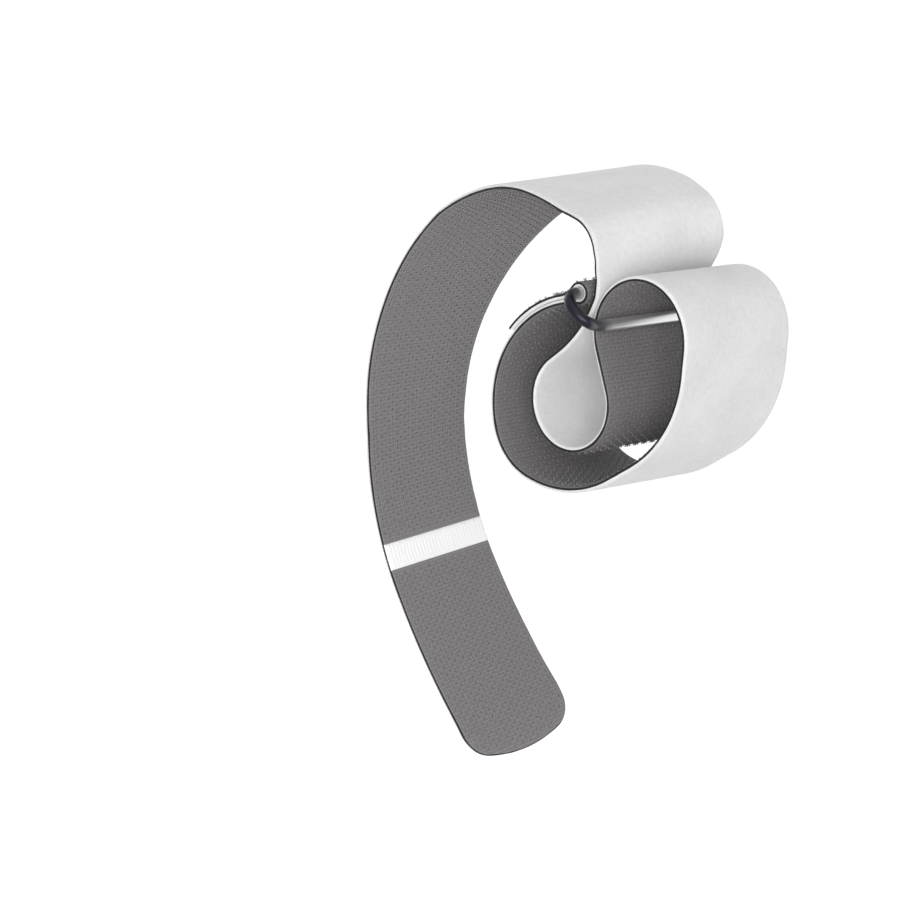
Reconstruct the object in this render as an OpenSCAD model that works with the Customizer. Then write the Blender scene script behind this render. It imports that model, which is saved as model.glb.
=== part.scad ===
// Hook and loop cable tie: one long two-faced strap sewn to an oblong wire ring.
// The strap leaves the ring, makes a wide loop and an arch over the ring's free bar,
// drops through the ring, holds the cable in a round loop, climbs back through the
// ring beside itself and ends in a free, slightly twisted tail.
// Frame: +Y along the cable, +Z up, origin at the centre of the cable loop.

/* [Strap] */
// Width of the strap
strap_w = 25; // [16:1:40]
// Thickness of the soft loop tape, the light face
loop_t = 0.6; // [0.5:0.05:1.1]
// Thickness of the hook tape, the dark face
hook_t = 0.6; // [0.5:0.05:1.1]
// Length of the free tail past the ring
tail_l = 157; // [120:1:220]
// Radius of the tail's two end corners
tip_r = 5; // [3:0.5:8]
// Radius of the curved edge between the two corners
tip_arc_r = 32; // [20:1:100]

/* [Cable loop] */
// Diameter of the cable or bundle that the loop holds
bundle_d = 14; // [12:0.5:20]

/* [Ring] */
// Diameter of the ring's wire
wire_d = 1.8; // [1.6:0.1:2.6]
// Free width at each edge of the strap inside the ring
ring_side_play = 0.5; // [0.3:0.1:2]
// Running clearance of the wire in the sewn fold
bar_play = 0.08; // [0.05:0.01:0.1]
// Gap between neighbouring passes of the strap in the ring
pass_gap = 0.3; // [0.2:0.05:0.6]
// Gap left where the free bar leans on the strap
lean_gap = 0.2; // [0.15:0.05:0.4]

/* [Sewn end] */
// Length of the sewn flap behind the ring
flap_l = 12; // [10:1:16]
// Thickness of the sewing thread above the tape
thread_t = 0.3; // [0.2:0.05:0.4]
// Width of one stitch
thread_w = 0.6; // [0.4:0.1:0.8]
// Length of one stitch
stitch_l = 2.2; // [1.5:0.1:3]
// Gap between two stitches of a row
stitch_gap = 0.8; // [0.5:0.1:1.5]
// Number of stitch rows across the flap
stitch_rows = 3; // [2:1:4]
// Gap between the flap and the strap under it
seam_gap = 0.05; // [0.03:0.01:0.2]

/* [Marker band] */
// Width of the white band across the dark face
band_w = 4.4; // [2:0.2:8]
// Thickness of the band
band_t = 0.45; // [0.3:0.05:0.8]
// Length of the hook patch between the band and the tail's end
patch_l = 35; // [20:1:60]

/* [Hidden] */
$fn = 96;

// Run of the loops: a left turn is positive, headings are in degrees from +X
side_bends = [[17.5, 55], [16, 49], [10, 54], [19.5, 51]]; // radius, turn: down from the ring
rise_bend = [19, 55];       // radius and turn up the right side
arch_r = 8.5;               // radius of the arch over the free bar
shoulder_r = 9.5;           // radius of the bend into the arch
arch_in = 123;              // heading into the arch
arch_out = 287;             // heading out of the arch, down to the cable
wrap = 252;                 // how far the strap turns round the cable
neck_r = 20.5;              // radius of the bend up through the ring
neck_out = 64;              // heading of the strap where it leaves the ring
lean_at = 170;              // side of the arch on which the free bar leans
knee_r = 4;                 // radius of the bend from the fold down to the flap
pile_press = 0.05;          // how far the cable and the bar press into the soft pile
bend_step = 4;              // degrees between two points of a bend

// Run of the free tail, against the length from the ring
tail_heading = [[0, neck_out], [7, 71], [16, 158], [26, 170], [38, 192], [62, 218],
                [93, 263], [125, 294], [148, 304], [157, 290]];
tail_yaw = [[1, 0], [4, 4], [6, 8], [9, 12], [16, 13], [30, 15], [55, 13], [80, 2],
            [100, -4], [150, 0]];
tail_tilt = [[2, 0], [10, 4], [20, 8], [36, 4], [55, -1], [80, -1], [100, 2], [150, 7]];
tail_step = 1.6;            // distance between two sections of the tail
tip_steps = 8;              // sections round an end corner, and along the end edge
tip_flat = 0.8;             // half width of the last section
tongue_l = 0.5;             // how far the tail reaches back into the neck
tongue_inset = 0.02;        // how much thinner it is there

wire_r = wire_d / 2;
loop_r = bundle_d / 2 + loop_t - pile_press;  // bond line round the cable
tunnel_r = wire_r + bar_play;                 // the fold's hole for the ring's bar
fold_r = tunnel_r + loop_t - pile_press;      // bond line round the ring's bar
hub_r = fold_r + hook_t + pass_gap + hook_t;  // ring's bar to the strap beside it
pass_pitch = 2 * loop_t + pass_gap;           // bond line to bond line in the ring
lean_r = arch_r - hook_t - lean_gap - wire_r; // arch's centre to the free bar

// Unit vectors along a heading and to its left, and polar helpers
function along(h) = [cos(h), sin(h)];
function left(h) = [-sin(h), cos(h)];
function side(turn) = turn < 0 ? -1 : 1;
// End of a bend of radius r from point p and heading h, turning to the given side
function arc_end(p, h, r, turn, to = 0) =
    let (k = r * (to == 0 ? side(turn) : to))
    p + k * left(h) - k * left(h + turn);
function heading_of(v) = atan2(v[1], v[0]);
// The two lengths a and b for which a * u + b * v = e
function two_lengths(u, v, e) =
    let (d = u[0] * v[1] - u[1] * v[0])
    [(e[0] * v[1] - e[1] * v[0]) / d, (u[0] * e[1] - u[1] * e[0]) / d];
// End of a run of bends, as [point, heading]
function run_end(p, h, bends, i = 0) =
    i == len(bends) ? [p, h]
    : run_end(arc_end(p, h, bends[i][0], bends[i][1]), h + bends[i][1], bends, i + 1);

// The cable loop's ends, then the neck, then the arch beside it
loop_out = arch_out - wrap;
neck_turn = neck_out - loop_out;
loop_start = loop_r * left(arch_out);
loop_end = loop_r * left(loop_out);
neck_span = arc_end([0, 0], loop_out, neck_r, neck_turn);
arch_offset = (arch_r + pass_pitch) * left(neck_out);
leg_and_rise = two_lengths(along(arch_out), along(loop_out),
    loop_start - loop_end - neck_span + arch_offset + arch_r * left(arch_out));
leg_l = leg_and_rise[0];
rise_l = leg_and_rise[1];
neck_top = loop_end + rise_l * along(loop_out) + neck_span;
arch_c = neck_top - arch_offset;
bar_c = neck_top + hub_r * left(neck_out);
free_bar_c = arch_c + lean_r * along(lean_at);
ring_pitch = norm(free_bar_c - bar_c);
ring_tilt = heading_of(free_bar_c - bar_c);

// The wide loop: its floor and right side take up the length that is left
fold_foot = bar_c - [0, fold_r];
side_end = run_end(fold_foot, 180, side_bends);
floor_heading = side_end[1];
wall_heading = floor_heading + rise_bend[1];
rise_span = arc_end([0, 0], floor_heading, rise_bend[0], rise_bend[1]);
shoulder_span = arc_end([0, 0], wall_heading, shoulder_r, arch_in + 360 - wall_heading);
floor_and_wall = two_lengths(along(floor_heading), along(wall_heading),
    arch_c - arch_r * left(arch_in) - side_end[0] - rise_span - shoulder_span);

// The sewn flap lies on the first side bend and meets the fold through the knee
flap_c = fold_foot - [0, side_bends[0][0]];
flap_r = side_bends[0][0] + 2 * loop_t + seam_gap;
fold_to_flap = side_bends[0][0] + fold_r;
fold_to_knee = fold_r + knee_r;
flap_to_knee = flap_r + knee_r;
function corner(a, b, c) = acos((a * a + b * b - c * c) / (2 * a * b));
knee_at_fold = 270 - corner(fold_to_flap, fold_to_knee, flap_to_knee);
knee_at_flap = 90 + corner(fold_to_flap, flap_to_knee, fold_to_knee);
flap_sweep = flap_l / flap_r * 180 / PI;
flap_start = knee_at_flap + flap_sweep;

// Every stretch of the strap from the flap's end to the neck: [radius, turn], or [0, length]
run = concat(
    [[flap_r, -flap_sweep], [knee_r, knee_at_fold - knee_at_flap], [fold_r, -knee_at_fold - 90]],
    side_bends,
    [[0, floor_and_wall[0]], rise_bend, [0, floor_and_wall[1]],
     [shoulder_r, arch_in + 360 - wall_heading], [arch_r, arch_out - arch_in],
     [0, leg_l], [loop_r, -wrap], [0, rise_l], [neck_r, neck_turn]]);

// Point and heading at the start of each stretch
function next_start(start, stretch) =
    stretch[0] == 0 ? [start[0] + stretch[1] * along(start[1]), start[1]]
    : [arc_end(start[0], start[1], stretch[0], stretch[1]), start[1] + stretch[1]];
run_starts = [for (i = 0, q = [flap_c + flap_r * along(flap_start), flap_start - 90];
    i < len(run); q = next_start(q, run[i]), i = i + 1) q];
// Points beside one stretch, at a distance to the left of the bond line
function beside(start, stretch, s) =
    stretch[0] == 0 ? [start[0] + s * left(start[1])]
    : let (n = ceil(abs(stretch[1]) / bend_step))
      [for (i = [0 : n - 1])
          let (turned = stretch[1] * i / n)
          arc_end(start[0], start[1], stretch[0], turned, side(stretch[1]))
              + s * left(start[1] + turned)];
function run_side(s) = concat(
    [for (i = [0 : len(run) - 1]) each beside(run_starts[i], run[i], s)],
    [neck_top + s * left(neck_out)]);
function reversed(list) = [for (i = [len(list) - 1 : -1 : 0]) list[i]];

// ---- run of the loops ----

// One tape along the run: it lies between s0 and s1 on the left of the bond line
module tape_run(s0, s1)
    translate([0, strap_w / 2, 0])
        rotate([90, 0, 0])
            linear_extrude(strap_w)
                polygon(concat(run_side(s0), reversed(run_side(s1))));

// Round hole along Y
module bore(c, r)
    translate([c[0], strap_w, c[1]])
        rotate([90, 0, 0])
            cylinder(r = r, h = 2 * strap_w);

// ---- free tail ----

band_start = tail_l - patch_l - band_w;
band_end = tail_l - patch_l;
// The end edge's circle, then where each corner leaves the side and meets that edge
tip_c = tail_l - tip_arc_r;
corner_start = tip_c + sqrt(pow(tip_arc_r - tip_r, 2) - pow(strap_w / 2 - tip_r, 2));
corner_reach = (corner_start - tip_c) / (tip_arc_r - tip_r);
corner_end = tip_c + corner_reach * tip_arc_r;
edge_half = (strap_w / 2 - tip_r) * tip_arc_r / (tip_arc_r - tip_r);
// Equal steps from a to b, without b
function steps(a, b) =
    let (n = ceil((b - a) / tail_step))
    [for (i = [0 : n - 1]) a + (b - a) * i / n];
stations = concat([-tongue_l], steps(0, band_start), steps(band_start, band_end),
    steps(band_end, corner_start),
    [for (i = [0 : tip_steps - 1]) corner_start + tip_r * sin(asin(corner_reach) * i / tip_steps)],
    [for (i = [0 : tip_steps])
        tip_c + sqrt(pow(tip_arc_r, 2)
            - pow(edge_half + (tip_flat - edge_half) * i / tip_steps, 2))]);
last_station = len(stations) - 1;
band_first = 1 + len(steps(0, band_start));
patch_first = band_first + len(steps(band_start, band_end));

// Directions across and along the tail at length s
function across(s) =
    let (y = lookup(s, tail_yaw), t = lookup(s, tail_tilt))
    [sin(y) * cos(t), cos(y) * cos(t), sin(t)];
function ahead(s) =
    let (y = lookup(s, tail_yaw), h = lookup(s, tail_heading),
         level = [cos(y), -sin(y), 0])
    cos(h) * level + sin(h) * cross(level, across(s));
function half_w(s) =
    s <= corner_start ? strap_w / 2
    : s <= corner_end ? strap_w / 2 - tip_r + sqrt(pow(tip_r, 2) - pow(s - corner_start, 2))
    : sqrt(pow(tip_arc_r, 2) - pow(s - tip_c, 2));
// Points of the bond line's middle at each station
tongue_start = neck_top - tongue_l * along(neck_out);
tail_points = [for (i = 0, p = [tongue_start[0], 0, tongue_start[1]]; i <= last_station;
    p = p + (i < last_station ? (stations[i + 1] - stations[i])
        * (ahead(stations[i]) + ahead(stations[i + 1])) / 2 : [0, 0, 0]),
    i = i + 1) p];

// Four corners of one tape's section: near and far at s0, far and near at s1.
// Inside the neck the section is a little smaller than the neck's own.
function section(i, s0, s1) =
    let (s = stations[i], inset = s <= 0 ? tongue_inset : 0,
         w = across(s) * (half_w(s) - inset), up = cross(ahead(s), across(s)),
         low = (s0 + inset) * up, high = (s1 - inset) * up, p = tail_points[i])
    [p - w + low, p + w + low, p + w + high, p - w + high];

// One tape along the tail from station a to station b, between s0 and s1
module tail_tape(a, b, s0, s1) {
    n = b - a;
    points = [for (i = [a : b]) each section(i, s0, s1)];
    walls = [for (i = [0 : n - 1], k = [0 : 3])
        let (q = 4 * i + k, r = 4 * i + (k + 1) % 4)
        each (k == 2 ? [[q, q + 4, r], [r, q + 4, r + 4]]
                     : [[q, r + 4, r], [q, q + 4, r + 4]])];
    polyhedron(points, concat([[0, 2, 3], [0, 1, 2]], walls,
        [[4 * n, 4 * n + 2, 4 * n + 1], [4 * n, 4 * n + 3, 4 * n + 2]]), convexity = 8);
}

// ---- sub-parts ----

// The soft tape, from the flap's end to the tip of the tail. The cable and the
// ring's bar each lie in a true round hole.
module loop_tape() {
    color("gainsboro") difference() {
        union() {
            tape_run(-loop_t, 0);
            tail_tape(0, last_station, -loop_t, 0);
        }
        bore([0, 0], bundle_d / 2);
        bore(bar_c, tunnel_r);
    }
}

// The hook tape, bonded behind it as far as the marker band
module hook_tape() {
    color("dimgray") union() {
        tape_run(0, hook_t);
        tail_tape(0, band_first, 0, hook_t);
    }
}

module marker_band() {
    color("white") tail_tape(band_first, patch_first, 0, band_t);
}

module end_hook_patch() {
    color("dimgray") tail_tape(patch_first, last_station, 0, hook_t);
}

// Oblong ring of round wire, its ends half circles outside the strap's edges
ring_straight = strap_w + 2 * ring_side_play;
module ring() {
    color("silver")
        translate([bar_c[0], 0, bar_c[1]])
            rotate([0, -ring_tilt, 0])
                union() {
                    for (x = [0, ring_pitch])
                        translate([x, ring_straight / 2, 0])
                            rotate([90, 0, 0])
                                cylinder(d = wire_d, h = ring_straight);
                    for (end = [0, 1])
                        translate([ring_pitch / 2, (end - 0.5) * ring_straight, 0])
                            rotate([0, 0, end == 0 ? 180 : 0])
                                rotate_extrude(angle = 180)
                                    translate([ring_pitch / 2, 0])
                                        circle(d = wire_d);
                }
}

// Rows of stitches across the flap
stitch_pitch = stitch_l + stitch_gap;
stitch_count = floor((strap_w - stitch_gap) / stitch_pitch);
stitch_margin = 2;
// One stitch on the flap's outer face, at a polar angle about the flap's axis
module stitch(at)
    translate([flap_c[0], 0, flap_c[1]])
        rotate([90, 0, 0])
            rotate([0, 0, at])
                rotate_extrude(angle = thread_w / flap_r * 180 / PI)
                    translate([flap_r + hook_t, -stitch_l / 2])
                        square([thread_t, stitch_l]);

module ring_seam() {
    color("white")
        for (row = [0 : stitch_rows - 1], i = [0 : stitch_count - 1]) {
            at = knee_at_flap + (stitch_margin + row * (flap_l - 2 * stitch_margin)
                / (stitch_rows - 1)) / flap_r * 180 / PI;
            translate([0, (i - (stitch_count - 1) / 2) * stitch_pitch, 0])
                stitch(at);
        }
}

loop_tape();
hook_tape();
marker_band();
end_hook_patch();
ring();
ring_seam();
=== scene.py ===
import math

import bpy
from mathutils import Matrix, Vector, noise


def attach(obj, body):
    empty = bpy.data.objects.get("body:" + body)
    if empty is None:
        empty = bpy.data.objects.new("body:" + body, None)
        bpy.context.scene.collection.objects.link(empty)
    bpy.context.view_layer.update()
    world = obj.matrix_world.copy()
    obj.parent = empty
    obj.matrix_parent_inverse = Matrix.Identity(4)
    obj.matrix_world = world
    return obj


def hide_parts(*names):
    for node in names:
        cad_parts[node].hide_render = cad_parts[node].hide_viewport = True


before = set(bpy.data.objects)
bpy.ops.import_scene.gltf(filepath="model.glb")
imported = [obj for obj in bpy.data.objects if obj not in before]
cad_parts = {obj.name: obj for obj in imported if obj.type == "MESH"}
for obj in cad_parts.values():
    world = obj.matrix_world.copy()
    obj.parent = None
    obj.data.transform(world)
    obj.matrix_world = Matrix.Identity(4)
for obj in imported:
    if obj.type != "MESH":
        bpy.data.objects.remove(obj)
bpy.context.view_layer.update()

# ---------------------------------------------------------------- soft tape
# The light face: nylon loop cloth whose loops are brushed into a soft nap.
# It is bonded back to back with the hook cloth, folded round the ring's back
# bar, sewn down, and laid through the ring and round the cable.

MM = 0.001
STRAP_W = 25.0
SOFT_T = 0.6          # the soft cloth
HOOK_T = 0.6          # the hook cloth, to the tops of its hooks
FLAP_L = 12.0         # the sewn flap on the outside
TAIL_L = 157.0        # the free tail
PATCH_L = 35.0        # from the white band to the tail's end
BAND_W = 4.4
TIP_R = 5.0           # the corners of the tail's end
TIP_ARC_R = 32.0      # the end edge between them
CABLE_D = 14.0
WIRE_D = 1.8
BAR_PLAY = 0.08       # round the ring's bar in its fold
PASS_GAP = 0.3        # between the two passes of the strap in the ring
SEAM_GAP = 0.05       # between the flap and the strap under it
PILE_PRESS = 0.05     # how far the cable and the bar press into the nap

# The strap's bends, as (radius, degrees), and its headings in degrees from +X
SIDE_BENDS = [(17.5, 55), (16, 49), (10, 54), (19.5, 51)]
RISE_BEND = (19, 55)
SHOULDER_R, ARCH_R, NECK_R, KNEE_R = 9.5, 8.5, 20.5, 4
ARCH_IN, ARCH_OUT, NECK_OUT = 123, 287, 64
WRAP = 252            # how far the strap turns round the cable
# Heading, yaw and tilt of the free tail against its length from the ring
TAIL_HEADING = [(0, NECK_OUT), (7, 71), (16, 158), (26, 170), (38, 192), (62, 218),
                (93, 263), (125, 294), (148, 304), (157, 290)]
TAIL_YAW = [(1, 0), (4, 4), (6, 8), (9, 12), (16, 13), (30, 15), (55, 13), (80, 2),
            (100, -4), (150, 0)]
TAIL_TILT = [(2, 0), (10, 4), (20, 8), (36, 4), (55, -1), (80, -1), (100, 2), (150, 7)]


def along(h):
    """The direction of a heading."""
    return Vector((math.cos(math.radians(h)), 0, math.sin(math.radians(h))))


def left(h):
    """The direction to the left of a heading."""
    return Vector((-math.sin(math.radians(h)), 0, math.cos(math.radians(h))))


def bend_end(point, heading, radius, turn):
    """Where a bend leads: radius 0 is a straight stretch, with its length as turn."""
    if radius == 0:
        return point + turn * along(heading), heading
    k = math.copysign(radius, turn)
    return point + k * left(heading) - k * left(heading + turn), heading + turn


def run_end(point, heading, bends):
    """Where a row of bends leads."""
    for radius, turn in bends:
        point, heading = bend_end(point, heading, radius, turn)
    return point, heading


def two_lengths(u, v, span):
    """The two lengths along u and v that together make the span."""
    d = u.x * v.z - u.z * v.x
    return (span.x * v.z - span.z * v.x) / d, (u.x * span.z - u.z * span.x) / d


def angle_between(a, b, opposite):
    """The angle in degrees between two sides of a triangle."""
    return math.degrees(math.acos((a * a + b * b - opposite * opposite) / (2 * a * b)))


def lay_strap():
    """The flap's end, its heading, and each stretch from there to the neck."""
    origin = Vector((0, 0, 0))
    cable_r = CABLE_D / 2 + SOFT_T - PILE_PRESS
    fold_r = WIRE_D / 2 + BAR_PLAY + SOFT_T - PILE_PRESS

    # The leg down to the cable and the rise to the neck, beside the arch
    loop_out = ARCH_OUT - WRAP
    neck = (NECK_R, NECK_OUT - loop_out)
    neck_span = bend_end(origin, loop_out, *neck)[0]
    to_arch = (ARCH_R + 2 * SOFT_T + PASS_GAP) * left(NECK_OUT)
    leg, rise = two_lengths(
        along(ARCH_OUT), along(loop_out),
        (cable_r + ARCH_R) * left(ARCH_OUT) - cable_r * left(loop_out) - neck_span + to_arch)
    neck_top = cable_r * left(loop_out) + rise * along(loop_out) + neck_span
    bar = neck_top + (fold_r + 2 * HOOK_T + PASS_GAP) * left(NECK_OUT)

    # The wide loop, whose floor and right side take up the length that is left
    fold_foot = bar - Vector((0, 0, fold_r))
    side_end, floor = run_end(fold_foot, 180, SIDE_BENDS)
    rise_span, wall = bend_end(origin, floor, *RISE_BEND)
    shoulder = (SHOULDER_R, ARCH_IN + 360 - wall)
    floor_l, wall_l = two_lengths(
        along(floor), along(wall),
        neck_top - to_arch - ARCH_R * left(ARCH_IN) - side_end - rise_span
        - bend_end(origin, wall, *shoulder)[0])

    # The flap on the first side bend, and the knee between it and the fold
    side_r = SIDE_BENDS[0][0]
    flap_r = side_r + 2 * SOFT_T + SEAM_GAP
    flap_c = fold_foot - Vector((0, 0, side_r))
    sides = (side_r + fold_r, fold_r + KNEE_R, flap_r + KNEE_R)
    knee_at_fold = 270 - angle_between(sides[0], sides[1], sides[2])
    knee_at_flap = 90 + angle_between(sides[0], sides[2], sides[1])
    flap_sweep = math.degrees(FLAP_L / flap_r)
    flap_end = knee_at_flap + flap_sweep

    stretches = [(flap_r, -flap_sweep), (KNEE_R, knee_at_fold - knee_at_flap),
                 (fold_r, -knee_at_fold - 90), *SIDE_BENDS, (0, floor_l), RISE_BEND,
                 (0, wall_l), shoulder, (ARCH_R, ARCH_OUT - ARCH_IN), (0, leg),
                 (cable_r, -WRAP), (0, rise), neck]
    return flap_c + flap_r * along(flap_end), flap_end - 90, stretches


def lookup(s, table):
    """The value at s in a table of (s, value), on a straight line between its rows."""
    if s <= table[0][0]:
        return table[0][1]
    for (a, va), (b, vb) in zip(table, table[1:]):
        if s <= b:
            return va + (vb - va) * (s - a) / (b - a)
    return table[-1][1]


class Station:
    """One place along the strap: its length so far, point, and directions."""

    def __init__(self, run, point, ahead, across, half_w):
        self.run, self.point, self.ahead = run, point, ahead
        self.across, self.half_w = across, half_w
        self.up = ahead.cross(across)

    def at(self, side, height):
        return self.point + side * self.across + height * self.up


STEP = 0.55           # between stations
LINE_STEP = 0.4       # the longest step along the tail's line
CORNER_STEPS = 16     # round a corner of the tail's end
TIP_STEPS = 20        # along the end edge
TIP_HALF = 0.8        # half the width of the last station
# Places at which a cloth's rounded edge is drawn, from the edge inwards
EDGE_STEPS = (0.0, 0.08, 0.2, 0.4, 0.75)
EDGE_CLEAR = 0.3      # even stations this near to a cut edge are left out


def loop_stations():
    """The stations from the flap's end to the ring, their whole length and last point."""
    out, run = [], 0.0
    point, heading, stretches = lay_strap()
    y = Vector((0, 1, 0))
    for radius, turn in stretches:
        length = turn if radius == 0 else radius * math.radians(abs(turn))
        n = max(2, math.ceil(length / STEP))
        places = [length * i / n for i in range(n)]
        if run == 0:
            places = sorted(set(places) | set(EDGE_STEPS))
        for place in places:
            here, h = bend_end(point, heading, radius, turn * place / length)
            out.append(Station(run + place, here, along(h), y, STRAP_W / 2))
        point, heading = bend_end(point, heading, radius, turn)
        run += length
    return out, run, point


def tail_frame(s):
    """The directions ahead and across at a length s along the tail."""
    yaw, tilt = math.radians(lookup(s, TAIL_YAW)), math.radians(lookup(s, TAIL_TILT))
    h = math.radians(lookup(s, TAIL_HEADING))
    across = Vector((math.sin(yaw) * math.cos(tilt), math.cos(yaw) * math.cos(tilt),
                     math.sin(tilt)))
    level = Vector((math.cos(yaw), -math.sin(yaw), 0))
    return math.cos(h) * level + math.sin(h) * level.cross(across), across


# The end edge's centre, then where a corner starts and where it meets that edge
TIP_C = TAIL_L - TIP_ARC_R
CORNER = TIP_C + math.sqrt((TIP_ARC_R - TIP_R) ** 2 - (STRAP_W / 2 - TIP_R) ** 2)
CORNER_END = TIP_C + (CORNER - TIP_C) * TIP_ARC_R / (TIP_ARC_R - TIP_R)


def half_width(s):
    """Half the strap's width at a length s along the tail."""
    if s <= CORNER:
        return STRAP_W / 2
    if s <= CORNER_END:
        return STRAP_W / 2 - TIP_R + math.sqrt(TIP_R ** 2 - (s - CORNER) ** 2)
    return math.sqrt(max(0, TIP_ARC_R ** 2 - (s - TIP_C) ** 2))


def tail_stations(start_run, point):
    """The stations of the free tail, closest at its rounded end and beside the band."""
    n = math.ceil(CORNER / STEP)
    lengths = [CORNER * i / n for i in range(n)]
    for end, way in ((TAIL_L - PATCH_L - BAND_W, 1), (TAIL_L - PATCH_L, -1)):
        lengths = [s for s in lengths if abs(s - end) > EDGE_CLEAR]
        lengths += [end + way * e for e in EDGE_STEPS[:-1]]
    lengths.sort()
    bend = math.asin((CORNER_END - CORNER) / TIP_R)
    lengths += [CORNER + TIP_R * math.sin(bend * i / CORNER_STEPS)
                for i in range(CORNER_STEPS)]
    end_half = half_width(CORNER_END)
    for i in range(TIP_STEPS + 1):
        half = end_half + (TIP_HALF - end_half) * i / TIP_STEPS
        lengths.append(TIP_C + math.sqrt(TIP_ARC_R ** 2 - half ** 2))
    out, before = [], None
    for s in lengths:
        ahead, across = tail_frame(s)
        if before is not None:
            n = max(1, math.ceil((s - before) / LINE_STEP))
            for i in range(n):
                a = before + (s - before) * i / n
                b = before + (s - before) * (i + 1) / n
                point = point + (b - a) * (tail_frame(a)[0] + tail_frame(b)[0]) / 2
        out.append(Station(start_run + s, point, ahead.normalized(), across, half_width(s)))
        before = s
    return out


in_loops, RING_RUN, neck_top = loop_stations()
strap = in_loops + tail_stations(RING_RUN, neck_top)
tape_end = RING_RUN + TAIL_L


def between(a, b):
    """The stations from one length along the strap to another."""
    return [s for s in strap if a - 1e-6 <= s.run <= b + 1e-6]


def from_edge(run, side):
    """Distance on the flat strap from a place to its nearest edge."""
    s, x = run - RING_RUN, abs(side)
    near = min(run, STRAP_W / 2 - x)
    if s > TIP_C:
        near = min(near, TIP_ARC_R - math.hypot(s - TIP_C, x))
    ahead, out = s - CORNER, x - (STRAP_W / 2 - TIP_R)
    if ahead > 0 and out * (CORNER - TIP_C) > ahead * (STRAP_W / 2 - TIP_R):
        near = min(near, TIP_R - math.hypot(ahead, out))
    return near


def new_piece(name, verts, faces, lay, material):
    """A mesh piece in metres. lay holds each corner's place on the flat tape in mm."""
    mesh = bpy.data.meshes.new(name)
    mesh.from_pydata([v * MM for v in verts], [], faces)
    mesh.validate()
    place = mesh.attributes.new("lay", "FLOAT_VECTOR", "POINT")
    place.data.foreach_set("vector", [c for p in lay for c in p])
    mesh.materials.append(material)
    mesh.shade_smooth()
    piece = bpy.data.objects.new(name, mesh)
    bpy.context.scene.collection.objects.link(piece)
    return piece


def unevenness(run, side, size, seed):
    """Noise from -1 to 1 over the flat tape, with swells about size mm across."""
    return noise.noise(Vector((run / size, side / size, seed)))


# How much of its thickness a cloth keeps at its sealed edge
EDGE_SHARE = 0.42


def cloth(name, stations, base, face, columns, relief, round_ends, material):
    """A closed length of cloth from height base to height face over the bond line.

    relief gives how far its face stands up at a place, and with round_ends its two
    cut ends are sealed and rounded like its sides.
    """
    verts, lay, faces = [], [], []
    out = 1 if face > base else -1
    full = abs(face - base)
    first, last = stations[0].run, stations[-1].run
    for st in stations:
        w = st.half_w
        sides = [w - e for e in EDGE_STEPS]
        inner = w - EDGE_STEPS[-1]
        mid = [inner * (1 - 2 * i / columns) for i in range(1, columns)]
        row = sides + mid + [-x for x in reversed(sides)]
        for x in row:
            cut = from_edge(st.run, x)
            if round_ends:
                cut = min(cut, st.run - first, last - st.run)
            share = min(1, max(0, cut) / EDGE_STEPS[-2])
            swell = EDGE_SHARE + (1 - EDGE_SHARE) * math.sqrt(1 - (1 - share) ** 2)
            lift = relief(st.run, x) if share == 1 else 0
            verts.append(st.at(x, base + out * (full * swell + lift)))
            lay.append((st.run, x, 0))
        for x in (-w, -w / 2, 0, w / 2, w):
            verts.append(st.at(x, base))
            lay.append((st.run, x, 0))
    n = len(verts) // len(stations)
    for i in range(len(stations) - 1):
        for k in range(n):
            a, b = i * n + k, i * n + (k + 1) % n
            faces.append((a, a + n, b + n, b) if out < 0 else (a, b, b + n, a + n))
    start, stop = list(range(n)), list(range((len(stations) - 1) * n, len(stations) * n))
    faces.append(start if out < 0 else list(reversed(start)))
    faces.append(list(reversed(stop)) if out < 0 else stop)
    return new_piece(name, verts, faces, lay, material)


def hex_colour(code):
    """An sRGB hex value as linear red, green, blue and alpha."""
    parts = [int(code[i:i + 2], 16) / 255 for i in (1, 3, 5)]
    return [c / 12.92 if c <= 0.04045 else ((c + 0.055) / 1.055) ** 2.4 for c in parts] + [1]


def add_node(owner, kind, inputs=None, stops=(), **settings):
    """Adds a node to a material or world. inputs holds a socket to link or a value to
    set for each input, stops the places and colours of a ramp, settings the rest."""
    tree = owner.node_tree
    node = tree.nodes.new(kind)
    for key, value in settings.items():
        setattr(node, key, value)
    for key, value in (inputs or {}).items():
        if isinstance(value, bpy.types.NodeSocket):
            tree.links.new(value, node.inputs[key])
        else:
            node.inputs[key].default_value = value
    for i, (place, code) in enumerate(stops):
        ramp = node.color_ramp.elements
        stop = ramp[i] if i < len(ramp) else ramp.new(place)
        stop.position, stop.color = place, hex_colour(code)
    return node


def new_material(name):
    material = bpy.data.materials.new(name)
    material.use_nodes = True
    material.node_tree.nodes.clear()
    return material


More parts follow.
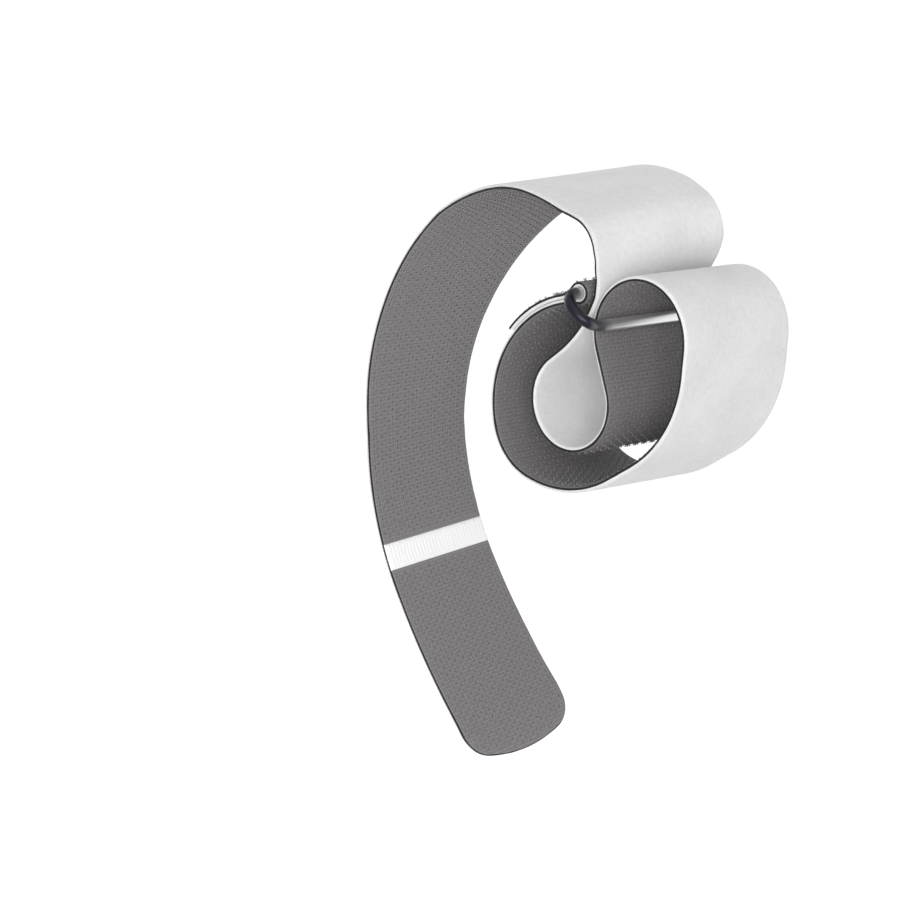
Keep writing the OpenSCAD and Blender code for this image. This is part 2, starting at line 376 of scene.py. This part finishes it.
def brushed_loop_nylon():
    """Napped nylon: a matt, faintly clouded surface of tangled loops on a fine knit."""
    m = new_material("brushed loop nylon")
    lay = add_node(m, "ShaderNodeAttribute", attribute_name="lay").outputs["Vector"]
    # Tufts of loops are 0.9 mm across and clouds 9 mm. The filaments are finer than
    # would show, so they are drawn 0.22 mm across.
    tufts = add_node(m, "ShaderNodeTexNoise", {"Vector": lay, "Scale": 1 / 0.9, "Detail": 3,
                                               "Roughness": 0.6})
    fibres = add_node(m, "ShaderNodeTexNoise", {"Vector": lay, "Scale": 1 / 0.22, "Detail": 2,
                                                "Roughness": 0.7, "Distortion": 1.2})
    clouds = add_node(m, "ShaderNodeTexNoise", {"Vector": lay, "Scale": 1 / 9, "Detail": 2})
    loops = add_node(m, "ShaderNodeMath", {0: tufts.outputs["Fac"], 1: fibres.outputs["Fac"]},
                     operation="ADD")
    shade = add_node(m, "ShaderNodeMath", {0: loops.outputs[0], 1: clouds.outputs["Fac"]},
                     operation="ADD")
    third = add_node(m, "ShaderNodeMath", {0: shade.outputs[0], 1: 3}, operation="DIVIDE")
    colour = add_node(m, "ShaderNodeValToRGB", {"Fac": third.outputs[0]},
                      stops=[(0.36, "#d1d1d0"), (0.5, "#dbdbdb"), (0.66, "#e4e4e3")])
    bump = add_node(m, "ShaderNodeBump", {"Height": loops.outputs[0], "Strength": 0.35,
                                          "Distance": 0.12 * MM})
    skin = add_node(m, "ShaderNodeBsdfPrincipled", {
        "Base Color": colour.outputs["Color"], "Normal": bump.outputs["Normal"],
        "Roughness": 0.92, "Sheen Weight": 0.25, "Sheen Roughness": 0.6, "IOR": 1.53,
        "Specular IOR Level": 0.25})
    add_node(m, "ShaderNodeOutputMaterial", {"Surface": skin.outputs["BSDF"]})
    return m


SOFT_COLUMNS = 44     # of the mesh across the strap


def nap(run, side):
    """The brushed nap stands up and down by a few hundredths of a millimetre."""
    return 0.035 * unevenness(run, side, 1.3, 3.1) + 0.02 * unevenness(run, side, 0.5, 7.7)


soft_tape = cloth("soft_tape", strap, 0, -SOFT_T, SOFT_COLUMNS, nap, False,
                  brushed_loop_nylon())
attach(soft_tape, "strap")
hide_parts("loop_tape")

# ---------------------------------------------------------------- hook tape
# The dark face: woven nylon tape with rows of small monofilament hooks, bonded
# to the back of the soft tape as far as the white band. The hooks are woven in
# and cut open on one side, so that alternate rows face opposite ways.

CLOTH_T = 0.24        # the woven ground, without its hooks
# Hooks stand a little further apart than on most real tape, so that they show
HOOK_ROW = 1.0
HOOK_PITCH = 1.2
HOOK_STRAY = 0.05     # how far a hook strays from its row
HOOK_CLEAR = 0.5      # of the stitches and the cut ends
HOOK_MARGIN = 0.8     # of the strap's edges
STITCH_MARGIN = 2.0
STITCH_ROWS = 3

band_start = tape_end - PATCH_L - BAND_W
band_end = tape_end - PATCH_L


def seam_rows():
    """Lengths along the strap at which the rows of stitches cross the flap."""
    pitch = (FLAP_L - 2 * STITCH_MARGIN) / (STITCH_ROWS - 1)
    return [FLAP_L - STITCH_MARGIN - i * pitch for i in range(STITCH_ROWS)]


# A wave texture at scale 1 repeats over this length
WAVE = math.pi / 10


def woven_nylon():
    """Plain-woven nylon tape: crossing yarns 0.6 mm apart, matt, with painted shade between
    the yarns.
    """
    m = new_material("woven nylon tape")
    lay = add_node(m, "ShaderNodeAttribute", attribute_name="lay").outputs["Vector"]
    yarns = {"Vector": lay, "Scale": WAVE / 0.6, "Distortion": 0.6, "Detail": 1}
    warp = add_node(m, "ShaderNodeTexWave", yarns, bands_direction="Y")
    weft = add_node(m, "ShaderNodeTexWave", yarns, bands_direction="X")
    weave = add_node(m, "ShaderNodeMath", {0: warp.outputs["Fac"], 1: weft.outputs["Fac"]},
                     operation="MULTIPLY")
    fuzz = add_node(m, "ShaderNodeTexNoise", {"Vector": lay, "Scale": 1 / 0.5, "Detail": 3})
    shade = add_node(m, "ShaderNodeMath", {0: weave.outputs[0], 1: fuzz.outputs["Fac"]},
                     operation="ADD")
    half = add_node(m, "ShaderNodeMath", {0: shade.outputs[0], 1: 2}, operation="DIVIDE")
    # Painted shade between the yarns, with a random fuzz of tone over it
    colour = add_node(m, "ShaderNodeValToRGB", {"Fac": half.outputs[0]},
                      stops=[(0.15, "#757273"), (0.45, "#858283"), (0.8, "#8f8c8d")])
    bump = add_node(m, "ShaderNodeBump", {"Height": weave.outputs[0], "Strength": 0.4,
                                          "Distance": 0.1 * MM})
    skin = add_node(m, "ShaderNodeBsdfPrincipled", {
        "Base Color": colour.outputs["Color"], "Normal": bump.outputs["Normal"],
        "Roughness": 0.85, "Sheen Weight": 0.1, "IOR": 1.53, "Specular IOR Level": 0.25})
    add_node(m, "ShaderNodeOutputMaterial", {"Surface": skin.outputs["BSDF"]})
    return m


def hook_nylon():
    """Drawn nylon monofilament: smooth and a little glossy, with painted shade at the roots
    and painted light on the tips.
    """
    m = new_material("nylon hook monofilament")
    lay = add_node(m, "ShaderNodeAttribute", attribute_name="lay").outputs["Vector"]
    split = add_node(m, "ShaderNodeSeparateXYZ", {"Vector": lay})
    # Painted shade and light: each hook darker at its root and paler towards its tip, by its
    # height
    colour = add_node(m, "ShaderNodeValToRGB", {"Fac": split.outputs["Z"]},
                      stops=[(0, "#7b7879"), (0.6, "#908d8e"), (1, "#9a9798")])
    skin = add_node(m, "ShaderNodeBsdfPrincipled", {
        "Base Color": colour.outputs["Color"], "Roughness": 0.5, "IOR": 1.53,
        "Specular IOR Level": 0.3})
    add_node(m, "ShaderNodeOutputMaterial", {"Surface": skin.outputs["BSDF"]})
    return m


# A J that curls over: at each place the distance ahead of the root in mm, the share
# of the height, half the width, and the way it points in degrees from ahead
HOOK_SHAPE = [(0.0, -0.02, 0.12, 90), (0.03, 0.62, 0.10, 80), (0.16, 0.94, 0.09, 10),
              (0.34, 0.62, 0.06, -65)]


def hook_rows(name, start, stop, material):
    """Rows of hooks on the woven tape between two lengths along the strap."""
    verts, lay, faces = [], [], []
    height = HOOK_T - CLOTH_T
    rows = int((STRAP_W - 2 * HOOK_MARGIN) / HOOK_ROW)
    count = int((stop - start - 2 * HOOK_CLEAR) / HOOK_PITCH)
    margin = (start + stop - (count - 0.5) * HOOK_PITCH) / 2
    where = 0
    for c in range(count):
        for r in range(rows + 1):
            # Every other row starts half a pitch further on and faces the other way
            run = margin + c * HOOK_PITCH + (HOOK_PITCH / 2 if r % 2 else 0)
            side = (r - rows / 2) * HOOK_ROW + HOOK_STRAY * unevenness(run, r, 1, 0)
            if any(abs(run - s) < HOOK_CLEAR for s in seam_rows()):
                continue
            if from_edge(run, side) < HOOK_MARGIN:
                continue
            while where < len(strap) - 2 and strap[where + 1].run < run:
                where += 1
            while where > 0 and strap[where].run > run:
                where -= 1
            st = strap[where]
            way = 1 if r % 2 else -1
            root = st.at(side, CLOTH_T) + (run - st.run) * st.ahead
            first = len(verts)
            for ahead, up, half, points in HOOK_SHAPE:
                here = root + way * ahead * st.ahead + height * up * st.up
                inner = way * math.sin(math.radians(points)) * st.ahead \
                    - math.cos(math.radians(points)) * st.up
                for out in (-way * st.across, -inner, way * st.across, inner):
                    verts.append(here + half * out)
                lay.extend([(run, side, up)] * 4)
            for i in range(len(HOOK_SHAPE) - 1):
                a = first + 4 * i
                for k in range(4):
                    b = (k + 1) % 4
                    faces.append((a + k, a + 4 + k, a + 4 + b, a + b))
            top = first + 4 * (len(HOOK_SHAPE) - 1)
            faces.append((top + 3, top + 2, top + 1, top))
            faces.append((first, first + 1, first + 2, first + 3))
    return new_piece(name, verts, faces, lay, material)


def even(run, side):
    """The woven ground is flat within a hundredth of a millimetre."""
    return 0.006 * unevenness(run, side, 0.8, 1.9)


WOVEN_COLUMNS = 24    # of the mesh across the strap

woven = woven_nylon()
hooks = hook_nylon()
under_band = between(band_start, band_end)
band_middle = under_band[len(under_band) // 2].run
hook_cloth = cloth("hook_cloth", between(0, band_middle), 0, CLOTH_T, WOVEN_COLUMNS, even,
                   False, woven)
hook_field = hook_rows("hooks", 0, band_start, hooks)
for piece in (hook_cloth, hook_field):
    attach(piece, "strap")
    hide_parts("hook_tape")

# The same cloth and hooks go on beyond the white band. The two lengths of cloth meet
# under it.
end_cloth = cloth("end_patch_cloth", between(band_middle, tape_end), 0, CLOTH_T,
                  WOVEN_COLUMNS, even, False, woven)
end_hooks = hook_rows("end_patch_hooks", band_end, tape_end, hooks)
for piece in (end_cloth, end_hooks):
    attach(piece, "strap")
    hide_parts("end_hook_patch")

# ---------------------------------------------------------------- sealed edge
# The strap's edges are cut hot, which melts both cloths into one thin dark bead
# that runs all the way round it and keeps the weave from fraying.

BEAD_R = 0.2
BEAD_SIDES = 6
BEAD_SWELL = 0.15     # how much its radius varies, as a share
BEAD_INSET = 0.08     # of its middle from the strap's edge


def melted_nylon():
    """Nylon melted by the knife: almost black, smooth and slightly uneven."""
    m = new_material("melted nylon edge")
    lay = add_node(m, "ShaderNodeAttribute", attribute_name="lay").outputs["Vector"]
    # Lumps are 1.5 mm apart
    lumps = add_node(m, "ShaderNodeTexNoise", {"Vector": lay, "Scale": 1 / 1.5, "Detail": 2})
    colour = add_node(m, "ShaderNodeValToRGB", {"Fac": lumps.outputs["Fac"]},
                      stops=[(0.3, "#1a1a19"), (0.7, "#232322")])
    bump = add_node(m, "ShaderNodeBump", {"Height": lumps.outputs["Fac"], "Strength": 0.3,
                                          "Distance": 0.05 * MM})
    skin = add_node(m, "ShaderNodeBsdfPrincipled", {
        "Base Color": colour.outputs["Color"], "Normal": bump.outputs["Normal"],
        "Roughness": 0.6, "IOR": 1.53, "Specular IOR Level": 0.2})
    add_node(m, "ShaderNodeOutputMaterial", {"Surface": skin.outputs["BSDF"]})
    return m


def bead(name, path, material):
    """A closed bead of melted nylon along path, a list of (point, up)."""
    verts, lay, faces = [], [], []
    n, sides, run = len(path), BEAD_SIDES, 0.0
    for i, (p, up) in enumerate(path):
        before, after = path[i - 1][0], path[(i + 1) % n][0]
        ahead = (after - before).normalized()
        out = ahead.cross(up).normalized()
        run += (p - before).length
        swollen = BEAD_R * (1 + BEAD_SWELL * unevenness(run, 1.05, 2.1, 4.2))
        for k in range(sides):
            a = 2 * math.pi * k / sides
            verts.append(p + swollen * (math.cos(a) * out + math.sin(a) * up))
            lay.append((run, a, 0))
    for i in range(n):
        for k in range(sides):
            a, b = i * sides + k, i * sides + (k + 1) % sides
            c, d = (i + 1) % n * sides + (k + 1) % sides, (i + 1) % n * sides + k
            faces.append((a, d, c, b))
    return new_piece(name, verts, faces, lay, material)


def edge_path():
    """The strap's outline, a little inside its edge, on the bond line."""
    near, far = [], []
    for st in strap:
        s = st.run - RING_RUN
        out, ahead = 1.0, 0.0
        if s > CORNER_END:
            out, ahead = st.half_w / TIP_ARC_R, (s - TIP_C) / TIP_ARC_R
        elif s > CORNER:
            out, ahead = (st.half_w - STRAP_W / 2 + TIP_R) / TIP_R, (s - CORNER) / TIP_R
        side = st.half_w - BEAD_INSET * out
        back = BEAD_INSET * ahead * st.ahead
        near.append((st.at(-side, 0) - back, st.up))
        far.append((st.at(side, 0) - back, st.up))
    flap = strap[0]
    across_flap = [(flap.at(share * flap.half_w, 0), flap.up)
                   for share in (0.88, 0.64, 0.32, 0, -0.32, -0.64, -0.88)]
    return near + far[::-1] + across_flap


edge_bead = bead("sealed_edge", edge_path(), melted_nylon())
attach(edge_bead, "strap")

# ---------------------------------------------------------------- white band
# A narrow woven nylon label tape, welded across the dark face to mark where the
# hooks for closing begin. It is thinner than the hooks beside it.

BAND_T = 0.45
RIB_PITCH = 0.8       # coarser than real taffeta, so that the ribs show
RIB_H = 0.02
RIB_COLUMNS = 6       # columns of the mesh to a rib


def white_ribbed_nylon():
    """White taffeta tape: bright and matt, with fine ribs across its own length."""
    m = new_material("white taffeta tape")
    lay = add_node(m, "ShaderNodeAttribute", attribute_name="lay").outputs["Vector"]
    ribs = add_node(m, "ShaderNodeTexWave", {"Vector": lay, "Scale": WAVE / RIB_PITCH,
                                             "Distortion": 0.3, "Detail": 1},
                    bands_direction="Y")
    # Painted shade: the grooves between the ribs are a little darker than their crests
    colour = add_node(m, "ShaderNodeValToRGB", {"Fac": ribs.outputs["Fac"]},
                      stops=[(0, "#f8f8f8"), (0.6, "#ffffff")])
    bump = add_node(m, "ShaderNodeBump", {"Height": ribs.outputs["Fac"], "Strength": 0.25,
                                          "Distance": 0.06 * MM})
    skin = add_node(m, "ShaderNodeBsdfPrincipled", {
        "Base Color": colour.outputs["Color"], "Normal": bump.outputs["Normal"],
        "Roughness": 0.7, "Sheen Weight": 0.1, "IOR": 1.53, "Specular IOR Level": 0.3})
    add_node(m, "ShaderNodeOutputMaterial", {"Surface": skin.outputs["BSDF"]})
    return m


def ribbed(run, side):
    """Ribs along the strap, that is across the band's own length."""
    return -RIB_H * math.cos(2 * math.pi * side / RIB_PITCH)


rib_columns = round(STRAP_W / RIB_PITCH * RIB_COLUMNS)
band = cloth("white_band", between(band_start, band_end), 0, BAND_T, rib_columns, ribbed,
             True, white_ribbed_nylon())
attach(band, "strap")
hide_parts("marker_band")

# ---------------------------------------------------------------- sewing
# Three rows of two-ply polyester thread close the fold round the ring's bar.
# Each stitch lies on the flap between two needle holes and dips into them.

STITCH_L = 2.2
STITCH_GAP = 0.8
PLY_R = 0.15
PLY_TWIST = 1.1       # length of one turn of the two plies
PLY_OUT = 0.13        # of a ply's middle from the thread's
THREAD_SUNK = 0.12    # how deep the thread's middle lies in the hooks
DIP_REACH = 0.15      # of each end past the needle hole
DIP_START = 0.36      # share of the stitch, from its middle, that stays level
DIP_DEPTH = 0.55
STITCH_STEPS = 14
PLY_SIDES = 8


def polyester_thread():
    """Twisted polyester thread: off-white, with a soft silky shine along the plies."""
    m = new_material("polyester sewing thread")
    lay = add_node(m, "ShaderNodeAttribute", attribute_name="lay").outputs["Vector"]
    # Hairs are finer than would show, so they are drawn 0.15 mm apart
    hairs = add_node(m, "ShaderNodeTexNoise", {"Vector": lay, "Scale": 1 / 0.15, "Detail": 2})
    colour = add_node(m, "ShaderNodeValToRGB", {"Fac": hairs.outputs["Fac"]},
                      stops=[(0.3, "#c4c4c2"), (0.7, "#dededc")])
    bump = add_node(m, "ShaderNodeBump", {"Height": hairs.outputs["Fac"], "Strength": 0.3,
                                          "Distance": 0.03 * MM})
    skin = add_node(m, "ShaderNodeBsdfPrincipled", {
        "Base Color": colour.outputs["Color"], "Normal": bump.outputs["Normal"],
        "Roughness": 0.45, "Sheen Weight": 0.2, "IOR": 1.57})
    add_node(m, "ShaderNodeOutputMaterial", {"Surface": skin.outputs["BSDF"]})
    return m


def stitches(name, material):
    """Rows of stitches across the flap, each of two plies twisted round each other."""
    verts, lay, faces = [], [], []
    pitch = STITCH_L + STITCH_GAP
    count = int((STRAP_W - STITCH_GAP) / pitch)
    length, steps, sides = STITCH_L + 2 * DIP_REACH, STITCH_STEPS, PLY_SIDES
    for row in seam_rows():
        st = min(strap, key=lambda s: abs(s.run - row))
        for i in range(count):
            middle = (i - (count - 1) / 2) * pitch
            for ply in (0, math.pi):
                first = len(verts)
                for k in range(steps + 1):
                    t = k / steps
                    side = middle + (t - 0.5) * length
                    drop = DIP_DEPTH * max(0, abs(t - 0.5) - DIP_START) / (0.5 - DIP_START)
                    turn = ply + 2 * math.pi * (t * STITCH_L) / PLY_TWIST
                    centre = st.at(side, HOOK_T - THREAD_SUNK - drop) \
                        + PLY_OUT * (math.cos(turn) * st.ahead + math.sin(turn) * st.up)
                    for j in range(sides):
                        a = 2 * math.pi * j / sides
                        verts.append(centre + PLY_R * (math.cos(a) * st.ahead
                                                       + math.sin(a) * st.up))
                        lay.append((t * length, a, ply))
                for k in range(steps):
                    for j in range(sides):
                        a, b = first + k * sides + j, first + k * sides + (j + 1) % sides
                        faces.append((a, a + sides, b + sides, b))
                faces.append(tuple(first + j for j in range(sides)))
                faces.append(tuple(first + steps * sides + j for j in reversed(range(sides))))
    return new_piece(name, verts, faces, lay, material)


seam = stitches("flap_stitches", polyester_thread())
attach(seam, "strap")
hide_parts("ring_seam")

# ---------------------------------------------------------------- wire ring
# Steel wire bent to an oblong, butt welded on the back bar where the fold hides
# it, and plated. Its colour has a painted highlight that makes the bars almost
# white and painted shade that makes the bends almost black.

RING_REACH = 18.0     # from the ring's middle to just past its bends


def plated_wire():
    """Nickel plate on drawn steel, with a painted highlight on the bars and painted shade at
    the bends.
    """
    m = new_material("plated steel wire with painted shade and highlight")
    place = add_node(m, "ShaderNodeTexCoord").outputs["Object"]
    split = add_node(m, "ShaderNodeSeparateXYZ", {"Vector": place})
    off_centre = add_node(m, "ShaderNodeMath", {0: split.outputs["Y"]}, operation="ABSOLUTE")
    share = add_node(m, "ShaderNodeMath", {0: off_centre.outputs[0], 1: RING_REACH * MM},
                     operation="DIVIDE")
    # Fine drawing marks, 0.3 mm apart
    marks = add_node(m, "ShaderNodeTexNoise", {"Vector": place, "Scale": 1 / (0.3 * MM),
                                               "Detail": 2})
    # Painted highlight and painted shade: almost white along the bars, darkening to almost
    # black at the bends
    colour = add_node(m, "ShaderNodeValToRGB", {"Fac": share.outputs[0]},
                      stops=[(0.62, "#fafafb"), (0.76, "#a3a1a7"), (0.88, "#2b2831")])
    bump = add_node(m, "ShaderNodeBump", {"Height": marks.outputs["Fac"], "Strength": 0.08,
                                          "Distance": 0.02 * MM})
    skin = add_node(m, "ShaderNodeBsdfPrincipled", {
        "Base Color": colour.outputs["Color"], "Normal": bump.outputs["Normal"],
        "Metallic": 0.9, "Roughness": 0.32})
    add_node(m, "ShaderNodeOutputMaterial", {"Surface": skin.outputs["BSDF"]})
    return m


wire_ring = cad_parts["ring"]
wire_ring.data.materials.clear()
wire_ring.data.materials.append(plated_wire())

# ---------------------------------------------------------------- studio
# A plain white floor well below the tie, soft light from a pale room and three
# broad lamps, above, in front and behind, and the camera on a long lens.

FLOOR_Z = -0.150
FLOOR_HALF = 6.0
FLOOR_GLOW = 0.85     # how much of the floor that is looked at is its own glow


def looked_at(owner):
    """1 for the rays that show the backdrop, straight or by way of metal, otherwise 0."""
    rays = add_node(owner, "ShaderNodeLightPath").outputs
    by_way = add_node(owner, "ShaderNodeMath", {0: rays["Is Glossy Ray"],
                                                1: rays["Is Transmission Ray"]},
                      operation="MAXIMUM")
    return add_node(owner, "ShaderNodeMath", {0: rays["Is Camera Ray"],
                                              1: by_way.outputs[0]},
                    operation="MAXIMUM").outputs[0]


def studio_floor():
    """White paper floor that shows evenly white and keeps the tie's shadow."""
    m = new_material("white paper floor")
    share = add_node(m, "ShaderNodeMath", {0: looked_at(m), 1: FLOOR_GLOW},
                     operation="MULTIPLY")
    paper = add_node(m, "ShaderNodeBsdfDiffuse", {"Color": hex_colour("#f4f4f4")})
    # With its share of lit paper this glow comes to plain white
    glow = add_node(m, "ShaderNodeEmission", {"Color": hex_colour("#ffffff"),
                                              "Strength": 1.12})
    mix = add_node(m, "ShaderNodeMixShader", {0: share.outputs[0], 1: paper.outputs[0],
                                              2: glow.outputs[0]})
    add_node(m, "ShaderNodeOutputMaterial", {"Surface": mix.outputs[0]})
    return m


floor_mesh = bpy.data.meshes.new("paper_floor")
floor_mesh.from_pydata([(FLOOR_HALF * x, FLOOR_HALF * y, FLOOR_Z)
                        for x, y in ((-1, -1), (1, -1), (1, 1), (-1, 1))],
                       [], [(0, 1, 2, 3)])
floor_mesh.materials.append(studio_floor())
floor = bpy.data.objects.new("paper_floor", floor_mesh)
bpy.context.scene.collection.objects.link(floor)

room = bpy.data.worlds.new("pale room")
room.use_nodes = True
room.node_tree.nodes.clear()
room_light = add_node(room, "ShaderNodeBackground", {"Color": hex_colour("#ffffff"),
                                                     "Strength": 0.52})
room_seen = add_node(room, "ShaderNodeBackground", {"Color": hex_colour("#ffffff"),
                                                    "Strength": 1})
room_mix = add_node(room, "ShaderNodeMixShader", {
    0: looked_at(room), 1: room_light.outputs[0], 2: room_seen.outputs[0]})
add_node(room, "ShaderNodeOutputWorld", {"Surface": room_mix.outputs[0]})
bpy.context.scene.world = room


def softbox(name, place, target, size, watts):
    """A square lamp with its side in metres, turned to the target."""
    lamp = bpy.data.lights.new(name, "AREA")
    lamp.shape, lamp.size, lamp.energy = "SQUARE", size, watts
    holder = bpy.data.objects.new(name, lamp)
    holder.location = place
    holder.rotation_euler = (target - place).to_track_quat("-Z", "Y").to_euler()
    bpy.context.scene.collection.objects.link(holder)


middle = Vector((-0.0228, -0.0122, -0.0113))
softbox("overhead_softbox", Vector((0.25, -0.25, 0.75)), middle, 0.7, 0.9)
softbox("front_softbox", Vector((0.45, -0.58, 0.09)), middle, 0.4, 3.4)
softbox("rear_softbox", Vector((-0.6, 0.35, 0.2)), middle, 0.6, 2.3)

VIEW_AZIMUTH = math.radians(42.2)
VIEW_ELEVATION = math.radians(8.7)
VIEW_DISTANCE = 0.6
camera_data = bpy.data.cameras.new("camera")
camera_data.sensor_width = 36.0
camera_data.lens = 150
camera_data.clip_start = 0.01
camera = bpy.data.objects.new("camera", camera_data)
camera.location = middle + VIEW_DISTANCE * Vector((
    math.sin(VIEW_AZIMUTH) * math.cos(VIEW_ELEVATION),
    -math.cos(VIEW_AZIMUTH) * math.cos(VIEW_ELEVATION),
    math.sin(VIEW_ELEVATION)))
camera.rotation_euler = (middle - camera.location).to_track_quat("-Z", "Y").to_euler()
bpy.context.scene.collection.objects.link(camera)
bpy.context.scene.camera = camera
bpy.context.scene.view_settings.view_transform = "Standard"
